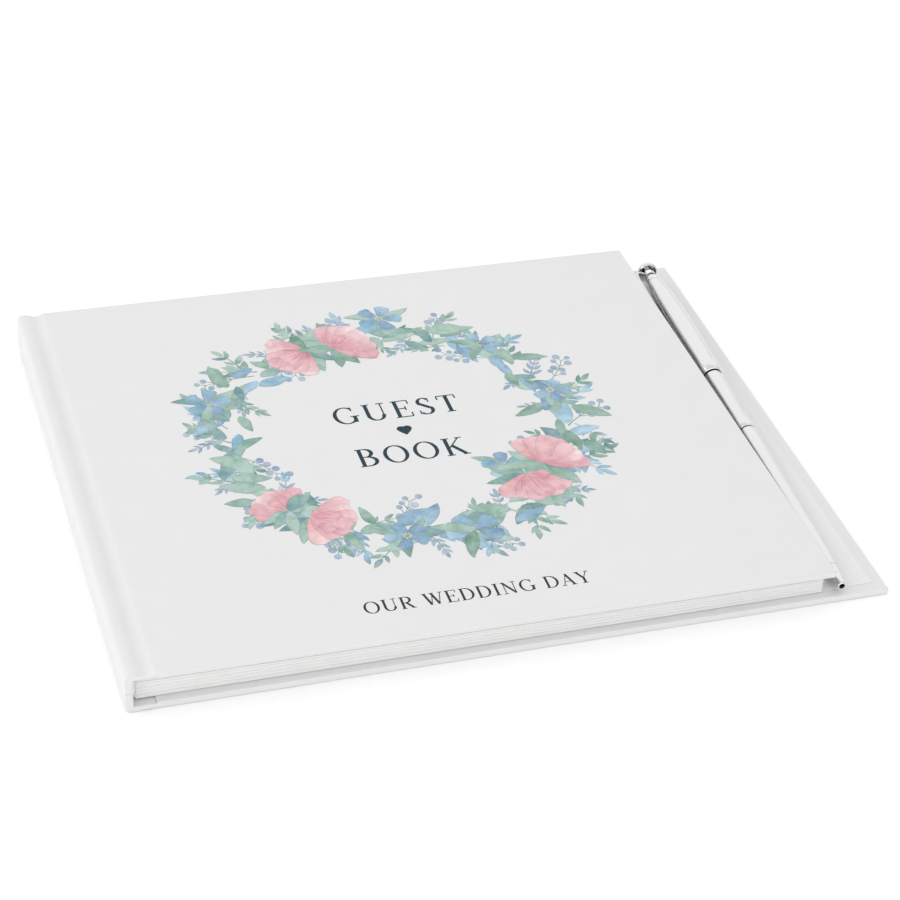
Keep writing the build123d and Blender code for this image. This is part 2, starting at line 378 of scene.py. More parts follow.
def growRows(bm, rows, closed=False):
    # a sheet grown by extruding its first row of edges through the others
    order = bm.verts.layers.int.get("order") or bm.verts.layers.int.new("order")
    line = []
    for index, place in enumerate(rows[0]):
        vert = bm.verts.new(place)
        vert[order] = index
        line.append(vert)
    first = list(line)
    pairs = list(zip(line, line[1:] + line[:1])) if closed else list(zip(line, line[1:]))
    edges = [bm.edges.new(pair) for pair in pairs]
    for row in rows[1:]:
        made = bmesh.ops.extrude_edge_only(bm, edges=edges)["geom"]
        line = sorted((g for g in made if isinstance(g, bmesh.types.BMVert)), key=lambda vert: vert[order])
        for vert in line:
            vert.co = row[vert[order]]
        pairs = list(zip(line, line[1:] + line[:1])) if closed else list(zip(line, line[1:]))
        edges = [bm.edges.get(pair) for pair in pairs]
    return first, line


def roundedEnds(half, radius, steps, between=()):
    # stations (y, inset) along a length whose two ends are rounded over
    near = []
    for i in range(steps + 1):
        turn = math.radians(90 * i / steps)
        near.append((-half + radius * (1 - math.cos(turn)), radius * (1 - math.sin(turn))))
    middle = [(y, 0.0) for y in between]
    return near + middle + [(-y, inset) for y, inset in reversed(near)]


def capEnd(bm, loop, rungs):
    # closes an end with a face between each two rungs, pairs of outline points, so that it can bend
    start, end = 0, len(loop)
    for near, far in rungs:
        bm.faces.new(loop[start:near + 1] + loop[far:end])
        start, end = near, far + 1
    bm.faces.new(loop[start:end])


def loftAlongY(bm, outline, stations, reach=None, rungs=()):
    # closed solid: the outline (x, z) swept along Y and drawn in by each station's inset, up to each point's
    # reach, with its ends split at the rungs
    count = len(outline)
    area = sum(outline[i - 1][0] * outline[i][1] - outline[i][0] * outline[i - 1][1] for i in range(count))
    side = 1 if area > 0 else -1
    inward = []
    for i in range(count):
        before, after = Vector(outline[i - 1]), Vector(outline[(i + 1) % count])
        along = (after - before).normalized()
        inward.append(Vector((-along.y, along.x)) * side)
    rows = []
    for y, inset in stations:
        row = []
        for i, (x, z) in enumerate(outline):
            pull = inset if reach is None else inset * reach[i]
            row.append((x + inward[i].x * pull, y, z + inward[i].y * pull))
        rows.append(row)
    first, last = growRows(bm, rows, closed=True)
    capEnd(bm, first, rungs)
    capEnd(bm, last, rungs)
    bmesh.ops.recalc_face_normals(bm, faces=bm.faces)


def sharpenRims(piece):
    # open edges stay crisp once the sheet has its thickness
    bm = bmesh.new()
    bm.from_mesh(piece.data)
    for edge in bm.edges:
        if edge.is_boundary:
            edge.smooth = False
    bm.to_mesh(piece.data)
    bm.free()


def addModifier(piece, kind, **settings):
    modifier = piece.modifiers.new(kind.title(), kind)
    for key, value in settings.items():
        setattr(modifier, key, value)


# case: two wraps that meet on the spine and fold in over the board edges

case = {
    "paper": 0.12 * mm,          # wrap thickness
    "edgeRound": 0.42 * mm,      # wrap turned over a board edge
    "turnIn": 15 * mm,
    "spineRound": 1.2 * mm,
    "jointDepth": 1.45 * mm,     # outer face of the wrap to the endpaper under the joint
    "jointDip": 0.72 * mm,
    "rearShare": 0.4,            # the rear groove is shallower
    "dipSkew": 1.3,              # over 1 moves the bottom of the groove towards the board
    "grooveSteps": 16, "cornerSteps": 7, "edgeSteps": 5, "endSteps": 4,
    "boardLap": 0.6 * mm,        # from the board's edge to its first flat point
    "boardPlaces": (-40 * mm, 0.0, 40 * mm),
    "turnInStart": 0.05 * mm,
    "jointReach": 0.35,          # share of the edge rounding that the joint and spine get at head and tail
}


def grooveLine(surface, sign):
    # groove from the spine to the board, pressed in below (sign 1) or above (sign -1) a cover face
    start = spineHigh.x
    end = frontLow.x
    dip = case["jointDip"] * (1 if sign > 0 else case["rearShare"])
    points = []
    for i in range(case["grooveSteps"] + 1):
        t = i / case["grooveSteps"]
        x = start + (end - start) * t
        points.append((x, surface(x) - sign * dip * math.sin(math.pi * t ** case["dipSkew"]) ** 1.4))
    return points


def caseOutline(surface, sign, foreX, seamZ):
    # side view of one wrap from the spine seam, over the groove and the board, and back underneath, with the
    # pairs of points that face each other across the joint
    r = case["spineRound"]
    e = case["edgeRound"]
    corner = (spineLow.x + r, surface(spineLow.x) - sign * r)
    outer = [(spineLow.x, seamZ)] + arc(corner, r, 180, 180 - 90 * sign, case["cornerSteps"])
    grooveStart = len(outer)
    outer += grooveLine(surface, sign)
    outer.append((frontLow.x + case["boardLap"], surface(frontLow.x)))
    outer += [(x, surface(x)) for x in case["boardPlaces"]]
    under = lambda x: surface(x) - sign * coverThick
    outer += arc((foreX - e, surface(foreX) - sign * e), e, 90 * sign, 0, case["edgeSteps"])
    outer += arc((foreX - e, under(foreX) + sign * e), e, 0, -90 * sign, case["edgeSteps"])
    outer.append((foreX - case["turnIn"], under(foreX - case["turnIn"])))
    outer.append((frontLow.x + case["turnInStart"], under(frontLow.x)))
    inner = [(x, surface(x) - sign * case["jointDepth"]) for x, z in reversed(grooveLine(surface, sign))]
    outline = outer + inner + [(spineHigh.x, seamZ)]
    rungs = [(grooveStart + i, len(outline) - 2 - i) for i in range(case["grooveSteps"] + 2)]
    return outline, rungs


def makeCase(name, surface, sign, foreX, seamZ):
    outline, rungs = caseOutline(surface, sign, foreX, seamZ)
    window = halfHeight - case["turnIn"]
    stations = roundedEnds(halfHeight, case["edgeRound"], case["endSteps"], (-window, 0, window))
    reach = [1.0 if x > frontLow.x + case["boardLap"] / 2 else case["jointReach"] for x, z in outline]
    bm = bmesh.new()
    loftAlongY(bm, outline, stations, reach, rungs)
    # open the inner window and the cut at the spine seam, so that the wrap is a skin
    spare = []
    for face in bm.faces:
        centre = face.calc_center_median()
        inWindow = frontLow.x < centre.x < foreX - case["turnIn"] and abs(centre.y) < window
        if inWindow and face.normal.z * sign < -0.9 and abs(centre.z - surface(centre.x)) > coverThick * 0.8:
            spare.append(face)
        elif centre.x < spineHigh.x and face.normal.z * sign < -0.9 and abs(centre.z - seamZ) < 0.01 * mm:
            spare.append(face)
    bmesh.ops.delete(bm, geom=spare, context="FACES")
    piece = finishPiece(name, bm, laminate, 40)
    sharpenRims(piece)
    addModifier(piece, "SOLIDIFY", thickness=case["paper"], offset=-1, use_even_offset=True)
    return piece


seamHeight = (spineLow.z + spineHigh.z) / 2
frontCase = makeCase("frontCoverWrap", coverTop, 1, frontHigh.x, seamHeight)
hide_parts("front_cover_wrap", "front_joint_cloth", "spine_wrap")
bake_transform(frontCase)
backCase = makeCase("backCoverWrap", lambda x: 0.0, -1, backHigh.x, seamHeight)
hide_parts("back_cover_wrap", "rear_joint_cloth")
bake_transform(backCase)
print("case wrapped")


# print on the front cover: a painted wreath and serif lettering, laid on as thin films

printing = {
    "film": 0.012 * mm,          # lowest film above the laminate
    "layer": 0.00015 * mm,       # each shape lies this much above the one before
    "across": (0.0, 0.8, 1.0),   # where a shape's tone changes, from its middle to its edge
    "tones": (0.92, 0.87, 0.7),  # there: a paler middle, and pigment gathered along the edge
}
wreath = {
    "centre": (-7.5, 3.0), "radius": 42.5, "spread": 3.6,                  # millimetres
    "greens": ["#86a99a", "#9dbcae", "#6a9482", "#8fb3a9", "#6c959b", "#a6c1b5"],
    "blues": ["#9cc1d6", "#80afc6", "#7c9fbb", "#aacadb", "#8db4ca"],
    "mists": ["#aab8cc", "#8ba0bd", "#9eb1c6", "#8bacb3"],
    "pinks": ["#ebc6c9", "#e4b8bd", "#dca8b0", "#efd2d2"],
    "deepPinks": ["#d6929e", "#cf8693", "#dc9fa8"],
    "veins": ("#8ba0bd", "#7391b4"), "stamens": ("#e9dcb8", "#c9b98c"),
    # cupped blossoms in pairs: (x, y, facing in degrees, petal length)
    "blossoms": [(-25.5, 40.5, 205, 10.5), (-9.5, 45.0, 35, 11.0), (-44.0, -21.0, 130, 9.0),
                 (-33.0, -30.0, -30, 10.5), (26.5, -14.5, 50, 11.0), (19.0, -26.5, -75, 10.5)],
    # open five-petalled flowers: (x, y, petal length)
    "florets": [(1.5, 54.0, 5.6), (-1.0, -41.0, 6.4), (-50.5, 24.5, 5.4), (13.5, -17.0, 5.0),
                (35.0, 12.0, 4.6), (-17.0, -39.5, 5.0), (23.5, 36.5, 4.8)],
}
brush = random.Random(29)


def useLevels(first, count):
    # heights for the next shapes, used again once neighbours are out of reach
    printing["levels"] = itertools.cycle(range(first, first + count))


def nextLevel():
    return printing["film"] + printing["layer"] * next(printing["levels"])


def growth(kind, t):
    # half width along a painted shape, as a share of its widest
    if kind == "leaf":
        return math.sin(math.pi * t ** 0.8) ** 0.85
    if kind == "petal":
        return t ** 0.62 * max(0.0, 1 - t ** 7) ** 0.5 / 0.86
    if kind == "berry":
        return math.sqrt(max(0.0, 1 - (2 * t - 1) ** 2))
    return 1 - 0.55 * t


def paintShape(bm, start, heading, length, bend, width, kind, hues, steps=9):
    # a grid bent into a shape that leaves its start at a heading and curls by a bend (degrees, millimetres)
    ink = bm.verts.layers.float_color["ink"]
    root, tip = (Vector(toLinear(hue)) for hue in hues)
    turn = math.radians(bend if abs(bend) > 0.5 else 0.5)
    first = math.radians(heading)
    radius = length / turn
    phase = brush.uniform(0, math.tau)
    level = nextLevel()
    for vert in bmesh.ops.create_grid(bm, x_segments=steps, y_segments=4, size=0.5)["verts"]:
        t = vert.co.x + 0.5
        share = round(abs(vert.co.y) * 4)
        side = math.copysign(printing["across"][share], vert.co.y)
        now = first + turn * t
        half = growth(kind, t) * width / 2
        if kind in ("leaf", "petal"):
            half *= 1 + 0.07 * math.sin(9 * t + phase + 2 * side)
        x = start[0] + radius * (math.sin(now) - math.sin(first)) - side * half * math.sin(now)
        y = start[1] - radius * (math.cos(now) - math.cos(first)) + side * half * math.cos(now)
        vert.co = (x * mm, y * mm, coverTop(x * mm) + level)
        vert[ink] = root.lerp(tip, t) * printing["tones"][share]


def alongStem(start, heading, length, bend):
    # the point that a curling stem of this length reaches
    turn = math.radians(bend if abs(bend) > 0.5 else 0.5)
    first = math.radians(heading)
    radius = length / turn
    return (start[0] + radius * (math.sin(first + turn) - math.sin(first)),
            start[1] - radius * (math.cos(first + turn) - math.cos(first)))


def twoOf(hues):
    return brush.choice(hues), brush.choice(hues)


def paintBerries(bm, start, heading, hues):
    # fine branching stem with a berry on each twig
    stem = twoOf(wreath["greens"])
    reach = brush.uniform(10, 14)
    bend = brush.uniform(-30, 30)
    paintShape(bm, start, heading, reach, bend, 0.38, "stem", stem, 8)
    for share in (0.45, 0.62, 0.8, 1.0):
        for side in (-1, 1):
            knee = alongStem(start, heading, reach * share, bend * share)
            away = heading + bend * share + side * 40
            twig = brush.uniform(1.6, 3.2)
            paintShape(bm, knee, away, twig, 8, 0.3, "stem", stem, 3)
            x, y = alongStem(knee, away, twig, 8)
            size = brush.uniform(1.5, 2.2)
            paintShape(bm, (x - size / 2, y), 0, size, 0, size, "berry", twoOf(hues), 7)


def paintSprig(bm, start, heading, hues, leafLength, pairs):
    # stem with leaves in pairs and one at the tip
    reach = leafLength * (1.1 + 0.32 * pairs)
    bend = brush.uniform(-35, 35)
    paintShape(bm, start, heading, reach, bend, 0.4, "stem", twoOf(wreath["greens"]), 8)
    for i in range(pairs):
        share = (i + 0.6) / pairs
        knee = alongStem(start, heading, reach * share, bend * share)
        for side in (-1, 1):
            size = leafLength * brush.uniform(0.75, 1.05) * (1.05 - 0.35 * share)
            paintShape(bm, knee, heading + bend * share + side * brush.uniform(35, 58), size, -side * 18,
                       size * brush.uniform(0.3, 0.42), "leaf", twoOf(hues))
    tip = alongStem(start, heading, reach, bend)
    paintShape(bm, tip, heading + bend, leafLength * 0.8, 5, leafLength * 0.3, "leaf", twoOf(hues))


def paintBlossom(bm, x, y, facing, size):
    # cupped flower seen from the side: leaves behind, outer petals, then deeper inner ones and creases
    back = math.radians(facing + 180)
    base = (x + math.cos(back) * size * 0.45, y + math.sin(back) * size * 0.45)
    for spread in (-125, -95, -60, 65, 100, 128):
        paintShape(bm, base, facing + spread + brush.uniform(-8, 8), size * brush.uniform(0.8, 1.1),
                   brush.uniform(-25, 25), size * 0.34, "leaf", twoOf(wreath["greens"]), 11)
    for spread in (-68, 66, -42, 44, -18, 20, 0):
        paintShape(bm, base, facing + spread, size * brush.uniform(0.95, 1.1), -spread * 0.35,
                   size * brush.uniform(0.52, 0.62), "petal", (brush.choice(wreath["deepPinks"]),
                                                                brush.choice(wreath["pinks"])), 13)
    for spread in (-34, 30, -8):
        paintShape(bm, base, facing + spread, size * brush.uniform(0.62, 0.74), -spread * 0.5, size * 0.4,
                   "petal", (brush.choice(wreath["deepPinks"]), brush.choice(wreath["pinks"][1:3])), 11)
    for spread in (-50, -24, -4, 14, 38, 56):
        paintShape(bm, base, facing + spread, size * brush.uniform(0.4, 0.7), -spread * 0.4, size * 0.045,
                   "leaf", twoOf(wreath["deepPinks"]), 7)


def paintFloret(bm, x, y, size):
    # open flower with five petals and a cluster of stamens
    turn = brush.uniform(0, 72)
    for i in range(5):
        heading = turn + 72 * i
        around = math.radians(heading)
        start = (x + math.cos(around) * size * 0.1, y + math.sin(around) * size * 0.1)
        paintShape(bm, start, heading, size, brush.uniform(-12, 12), size * 0.78, "petal",
                   (wreath["blues"][2], brush.choice(wreath["blues"])), 11)
        paintShape(bm, start, heading + 4, size * 0.6, 6, size * 0.06, "leaf", wreath["veins"], 5)
    for i in range(7):
        around = math.radians(51 * i)
        place = (x + math.cos(around) * size * 0.17 - 0.3, y + math.sin(around) * size * 0.17)
        paintShape(bm, place, 0, 0.6, 0, 0.6, "berry", wreath["stamens"], 5)


def paintWreath(bm):
    centre = Vector(wreath["centre"])
    ring = wreath["radius"]

    def onRing(angle, out=0.0):
        return centre + Vector((math.cos(math.radians(angle)), math.sin(math.radians(angle)))) * (ring + out)

    useLevels(0, 120)
    for i in range(30):
        angle = 12 * i + brush.uniform(-3, 3)
        side = 1 if i % 3 else -1
        heading = angle + side * brush.uniform(18, 60) + (0 if side > 0 else 180)
        if i % 2:
            paintBerries(bm, onRing(angle), heading, wreath["mists"])
        else:
            paintSprig(bm, onRing(angle), heading, wreath["mists"], 3.6, 4)
    useLevels(120, 80)
    for i in range(45):
        angle = 8 * i + brush.uniform(-3, 3)
        outward = i % 4 != 3
        if outward:
            heading = angle + brush.choice((-1, 1)) * brush.uniform(25, 65)
        else:
            heading = angle + 180 + brush.uniform(-60, 60)
        hues = wreath["blues"] if i % 3 == 0 else wreath["greens"]
        paintSprig(bm, onRing(angle, brush.uniform(-2, 2)), heading, hues, 5.2 if outward else 4.0, 3)
    useLevels(200, 50)
    for i in range(120):
        angle = 3 * i + brush.uniform(-1, 1)
        place = onRing(angle, brush.uniform(-1, 1) * wreath["spread"])
        heading = angle + (90 if i % 2 else -90) + brush.uniform(-62, 62)
        size = brush.uniform(6.5, 11.5)
        hues = wreath["blues"] if brush.random() < 0.3 else wreath["greens"]
        paintShape(bm, place, heading, size, brush.uniform(-40, 40), size * brush.uniform(0.3, 0.44), "leaf",
                   twoOf(hues), 12)
    useLevels(250, 25)
    for x, y, size in wreath["florets"]:
        for spread in (20, 140, 250):
            paintShape(bm, (x, y), spread + brush.uniform(-20, 20), size * 1.7, 25, size * 0.55, "leaf",
                       twoOf(wreath["greens"]), 11)
        paintFloret(bm, x, y, size)
    useLevels(275, 50)
    for blossom in wreath["blossoms"]:
        paintBlossom(bm, *blossom)


def startPrint():
    bm = bmesh.new()
    bm.verts.layers.float_color.new("ink")
    return bm


wreathMesh = startPrint()
paintWreath(wreathMesh)
wreathPiece = finishPiece("coverWreath", wreathMesh, watercolour)
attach(wreathPiece, "front_cover")
print("wreath painted")

# stroke widths as shares of a letter's height, and the points round a bowl
stroke = {"thick": 0.135, "thin": 0.05, "bowlSteps": 24, "wordSpace": 0.42}
# capital letters on a height of 1: advance, then strokes
# stem (x, from, to), hair (x0, y0, x1, y1), bar is a thick slant, bowl (cx, cy, rx, ry, from, to) in degrees,
# foot (x, y, half width)
letters = {
    "A": (0.78, "hair .1 0 .38 1", "bar .36 1 .66 0", "hair .2 .33 .56 .33", "foot .1 0 .13",
          "foot .66 0 .14"),
    "B": (0.74, "stem .16 0 1", "hair .03 1 .32 1", "hair .03 0 .34 0", "hair .16 .53 .34 .53",
          "bowl .3 .765 .24 .235 90 -90", "bowl .32 .265 .3 .265 90 -90"),
    "D": (0.82, "stem .16 0 1", "hair .03 1 .36 1", "hair .03 0 .36 0", "bowl .34 .5 .38 .5 90 -90"),
    "E": (0.68, "stem .16 0 1", "hair .03 1 .6 1", "hair .16 .52 .46 .52", "hair .03 0 .62 0",
          "hair .6 1 .6 .78", "hair .46 .4 .46 .64", "hair .62 0 .62 .24"),
    "G": (0.86, "bowl .44 .5 .36 .5 48 318", "stem .73 .05 .42", "foot .73 .42 .15", "hair .68 .74 .68 .98"),
    "I": (0.36, "stem .18 0 1", "foot .18 0 .15", "foot .18 1 .15"),
    "K": (0.82, "stem .16 0 1", "foot .16 0 .14", "foot .16 1 .14", "hair .62 1 .2 .42", "bar .32 .56 .68 0",
          "foot .62 1 .12", "foot .7 0 .12"),
    "N": (0.88, "hair .16 0 .16 1", "bar .14 1 .7 0", "hair .7 0 .7 1", "foot .16 0 .13", "foot .12 1 .09",
          "foot .7 1 .13"),
    "O": (0.86, "bowl .43 .5 .36 .5 0 360"),
    "R": (0.78, "stem .16 0 1", "foot .16 0 .14", "hair .03 1 .34 1", "hair .16 .5 .34 .5",
          "bowl .33 .75 .26 .25 90 -90", "bar .36 .5 .66 0", "foot .7 0 .1"),
    "S": (0.6, "bowl .3 .76 .19 .24 35 215", "bar .15 .66 .45 .38", "bowl .29 .26 .22 .26 35 -145",
          "hair .47 .74 .47 .98", "hair .07 .04 .07 .26"),
    "T": (0.7, "stem .35 0 1", "hair .04 1 .66 1", "hair .04 1 .04 .78", "hair .66 1 .66 .78",
          "foot .35 0 .15"),
    "U": (0.88, "stem .18 .32 1", "hair .7 .32 .7 1", "bowl .44 .32 .26 .32 180 360", "foot .18 1 .14",
          "foot .7 1 .13"),
    "W": (1.08, "bar .1 1 .34 0", "hair .34 0 .54 .9", "bar .5 1 .76 0", "hair .76 0 .98 1", "foot .1 1 .13",
          "foot .5 1 .12", "foot .98 1 .11"),
    "Y": (0.78, "bar .1 1 .38 .45", "hair .66 1 .39 .45", "stem .39 0 .48", "foot .1 1 .13", "foot .66 1 .12",
          "foot .39 0 .15"),
}


def printStroke(bm, path, halfWidths):
    # a flat ribbon through points, in millimetres
    level = nextLevel()
    count = len(path) - 1
    for vert in bmesh.ops.create_grid(bm, x_segments=count, y_segments=1, size=0.5)["verts"]:
        i = round((vert.co.x + 0.5) * count)
        along = (path[min(i + 1, count)] - path[max(i - 1, 0)]).normalized()
        place = path[i] + Vector((-along.y, along.x)) * math.copysign(halfWidths[i], vert.co.y)
        vert.co = (place.x * mm, place.y * mm, coverTop(place.x * mm) + level)


def strokeLine(kind, n):
    # a stroke's points and its width at each
    thin, thick = stroke["thin"], stroke["thick"]
    if kind == "stem":
        return [(n[0], n[1]), (n[0], n[2])], [thick, thick]
    if kind == "bar":
        return [(n[0], n[1]), (n[2], n[3])], [thick, thick]
    if kind == "hair":
        return [(n[0], n[1]), (n[2], n[3])], [thin, thin]
    if kind == "foot":
        return [(n[0] - n[2], n[1]), (n[0] + n[2], n[1])], [thin, thin]
    # a bowl is thick where it stands upright
    steps = stroke["bowlSteps"]
    turns = [math.radians(n[4] + (n[5] - n[4]) * i / steps) for i in range(steps + 1)]
    points = [(n[0] + n[2] * math.cos(t), n[1] + n[3] * math.sin(t)) for t in turns]
    return points, [thin + (thick - thin) * abs(math.cos(t)) ** 1.4 for t in turns]


def printLetter(bm, letter, origin, height):
    for text in letters[letter][1:]:
        kind, *numbers = text.split()
        points, widths = strokeLine(kind, [float(number) for number in numbers])
        inset = stroke["thin"] / 2
        path = [Vector(origin) + Vector((x, inset + y * (1 - 2 * inset))) * height for x, y in points]
        printStroke(bm, path, [w * height / 2 for w in widths])


def printLine(bm, words, centreX, baseline, height, spacing):
    advances = [letters[c][0] + spacing if c != " " else stroke["wordSpace"] for c in words]
    x = centreX - sum(advances) * height / 2
    for c, advance in zip(words, advances):
        if c != " ":
            printLetter(bm, c, (x, baseline), height)
        x += advance * height


def printHeart(bm, x, y, size):
    # two rounded lobes that run down to one point
    for side in (-1, 1):
        top = Vector((x + side * size * 0.26, y + size * 0.42))
        path = [top.lerp(Vector((x, y - size * 0.5)), i / 20) for i in range(21)]
        half = [math.sqrt(1 - (1 - i / 6) ** 2) if i < 6 else 1 - ((i - 6) / 14) ** 1.4 for i in range(21)]
        printStroke(bm, path, [size * 0.27 * h for h in half])


wording = {
    # words, their middle and baseline, height in millimetres, and spacing as a share of it
    "top": ("GUEST", -5.0, 8.0, 7.4, 0.16),
    "heart": (-5.8, 2.6, 4.2),     # middle and size
    "below": ("BOOK", -6.0, -10.6, 7.4, 0.16),
    "footer": ("OUR WEDDING DAY", -7.0, -65.8, 4.3, 0.1),
}
useLevels(0, 12)
letteringMesh = bmesh.new()
printLine(letteringMesh, *wording["top"])
printHeart(letteringMesh, *wording["heart"])
printLine(letteringMesh, *wording["below"])
lettering = finishPiece("coverLettering", letteringMesh, slateInk)
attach(lettering, "front_cover")
footerMesh = bmesh.new()
printLine(footerMesh, *wording["footer"])
footer = finishPiece("coverFooter", footerMesh, charcoalInk)
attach(footer, "front_cover")
print("lettering set")


# endpapers: pasted to each cover and carried over the joint to the text block

paste = {
    "thick": 0.1 * mm,
    "margin": 3.0 * mm,          # left free along the board's edges
    "sink": 0.1 * mm,            # inside the turn-ins, eased over twice the next length
    "ease": 0.7 * mm,
    "overJoint": (0.0, 1.2 * mm, 2.4 * mm),
    "lapStart": 0.4 * mm, "lapEnd": 0.6 * mm,      # before and after the board's edge
    "boardPlaces": (-60 * mm, -30 * mm, 0.0, 30 * mm),
    "lift": 0.02 * mm,           # between the sheet and the text block
}


def makePastedown(name, surface, sign, foreX, blockZ, nodeName):
    # surface is the inner face of the wrap; the sheet lies on it and sinks to the board inside the turn-ins
    edge = foreX - paste["margin"]
    step = foreX - case["turnIn"]
    half = halfHeight - paste["margin"]
    window = halfHeight - case["turnIn"]
    lap = frontLow.x - paste["lapStart"]
    xs = [blockLow.x + out for out in paste["overJoint"]] + [lap, frontLow.x + paste["lapEnd"]]
    xs += [*paste["boardPlaces"], step - paste["ease"], step + paste["ease"], edge]
    ys = [-half, -window - paste["ease"], -window + paste["ease"], 0]
    ys += [-y for y in reversed(ys[:-1])]
    rows = []
    for y in ys:
        row = []
        for x in xs:
            over = max(0.0, min(1.0, (lap - x) / (lap - blockLow.x)))
            z = surface(max(x, frontLow.x)) * (1 - over) + blockZ * over
            pressed = abs(y) < window and frontLow.x < x < step
            z += sign * paste["sink"] if pressed else 0.0
            row.append((x, y, z))
        rows.append(row)
    bm = bmesh.new()
    growRows(bm, rows)
    bmesh.ops.recalc_face_normals(bm, faces=bm.faces)
    if sum(face.normal.z for face in bm.faces) * sign > 0:
        bmesh.ops.reverse_faces(bm, faces=bm.faces)
    piece = finishPiece(name, bm, endpaper, 60)
    sharpenRims(piece)
    addModifier(piece, "SOLIDIFY", thickness=paste["thick"], offset=1)
    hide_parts(nodeName)
    return piece


frontPaste = makePastedown("frontPastedown", lambda x: coverTop(x) - coverThick, 1, frontHigh.x,
                           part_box("front_leaf_margins")[1].z + paste["lift"], "front_pastedown")
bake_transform(frontPaste)
backPaste = makePastedown("backPastedown", lambda x: coverThick, -1, backHigh.x,
                          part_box("rear_flyleaf")[0].z - paste["lift"], "back_pastedown")
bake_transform(backPaste)
print("endpapers pasted")


# text block: every section is a stack of leaves with slightly uneven edges

pages = {
    "leavesPerSection": 5,
    "leafAir": 0.014 * mm,       # air between leaves of one section
    "sectionAir": 0.05 * mm,     # between sections, where the fold shows as a line
    "unevenFore": 0.16 * mm,
    "unevenEnds": 0.07 * mm,
    "unevenSections": 0.05 * mm,
    "edgeBand": 0.05 * mm,       # a node's points this near its end tell the end's height
}
pageDraw = random.Random(11)


def planeOf(node, upper):
    # straight-line height of a node's upper or lower face along the width
    low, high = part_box(node)
    mesh = bpy.data.objects[node].data
    pick = max if upper else min
    start, end = (pick(v.co.z for v in mesh.vertices if abs(v.co.x - x) < pages["edgeBand"])
                  for x in (low.x, high.x))
    return lambda x: start + (end - start) * (x - low.x) / (high.x - low.x)


def addLeaf(bm, low, high, x0, x1, half):
    # one flat leaf, cut slightly out of line with its neighbours
    fore = x1 - pageDraw.uniform(0, pages["unevenFore"])
    head = half - pageDraw.uniform(0, pages["unevenEnds"])
    outline = [(x0, low(x0)), (fore, low(fore)), (fore, high(fore)), (x0, high(x0))]
    loftAlongY(bm, outline, [(-head, 0.0), (head, 0.0)])


def makeSection(node, name):
    low, high = planeOf(node, False), planeOf(node, True)
    count = pages["leavesPerSection"]
    bm = bmesh.new()
    setBack = pageDraw.uniform(0, pages["unevenFore"])
    for i in range(count):
        bottom = lambda x: low(x) + (high(x) - low(x)) * i / count + pages["leafAir"] / 2
        rise = pages["sectionAir"] if i == count - 1 else pages["leafAir"] / 2
        top = lambda x: low(x) + (high(x) - low(x)) * (i + 1) / count - rise
        half = blockHigh.y - pageDraw.uniform(0, pages["unevenSections"])
        addLeaf(bm, bottom, top, blockLow.x, blockHigh.x - setBack, half)
    piece = finishPiece(name, bm, pagePaper)
    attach(piece, "text_block")
    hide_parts(node)


for number in range(1, sectionCount + 1):
    makeSection(f"page_section_{number}", f"pageSection{number}")

rearLeafMesh = bmesh.new()
addLeaf(rearLeafMesh, planeOf("rear_flyleaf", False), planeOf("rear_flyleaf", True), blockLow.x, blockHigh.x,
        blockHigh.y)
rearLeaf = finishPiece("rearFlyleaf", rearLeafMesh, endpaper)
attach(rearLeaf, "text_block")
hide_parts("rear_flyleaf")
print("page sections stacked")


# hollow lining: gauze and paper glued to the folds, standing off them as a shallow tube

lining = {"bulge": 0.42 * mm, "steps": 10, "inset": 0.25 * mm}


def makeLining():
    low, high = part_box("spine_lining")
    outline = [(high.x, low.z), (high.x, high.z)]
    for i in range(lining["steps"] + 1):
        t = i / lining["steps"]
        outline.append((low.x - lining["bulge"] * math.sin(math.pi * t), high.z + (low.z - high.z) * t))
    half = blockHigh.y - lining["inset"]
    bm = bmesh.new()
    loftAlongY(bm, outline, [(-half, 0.0), (0.0, 0.0), (half, 0.0)])
    piece = finishPiece("spineLining", bm, gauze, 40)
    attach(piece, "text_block")
    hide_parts("spine_lining")


makeLining()
print("spine lined")


# loose leaves: bound at the gutter, built flat, with rows set close over the stretch where they curve up as
# they turn

turning = {"bendLength": 26 * mm, "gutterSteps": 3, "bendSteps": 30, "flatSteps": 6}
leafLine = joints["flyleaf_turn"]["pos_m"][0]


def makeTurningLeaf(name, body, material, slotName, node, *others):
    # others are the nodes that the leaf stands for besides its own
    low, high = planeOf(node, False), planeOf(node, True)
    fore = blockHigh.x - pageDraw.uniform(0, pages["unevenFore"])
    bendEnd = leafLine + turning["bendLength"]
    stretches = [(blockLow.x, leafLine, turning["gutterSteps"]), (leafLine, bendEnd, turning["bendSteps"]),
                 (bendEnd, fore, turning["flatSteps"])]
    xs = [start + (end - start) * i / steps for start, end, steps in stretches for i in range(steps)]
    xs.append(fore)
    outline = [(x, low(x)) for x in xs] + [(x, high(x)) for x in reversed(xs)]
    rungs = [(i, len(outline) - 1 - i) for i in range(1, len(xs) - 1)]
    bm = bmesh.new()
    loftAlongY(bm, outline, [(-blockHigh.y, 0.0), (0.0, 0.0), (blockHigh.y, 0.0)], rungs=rungs)
    piece = finishPiece(name, bm, material, 40)
    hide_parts(node, *others)
    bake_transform(piece)


makeTurningLeaf("frontFlyleaf", "flyleaf", endpaper, "endpaper", "front_flyleaf", "front_leaf_margins")
for number, body in enumerate(("first_leaf", "second_leaf", "third_leaf"), 1):
    makeTurningLeaf(f"leaf{number}Sheet", body, pagePaper, "page_paper", f"leaf_{number}")
print("loose leaves made")


# pen: spun shells on the pen's own axis

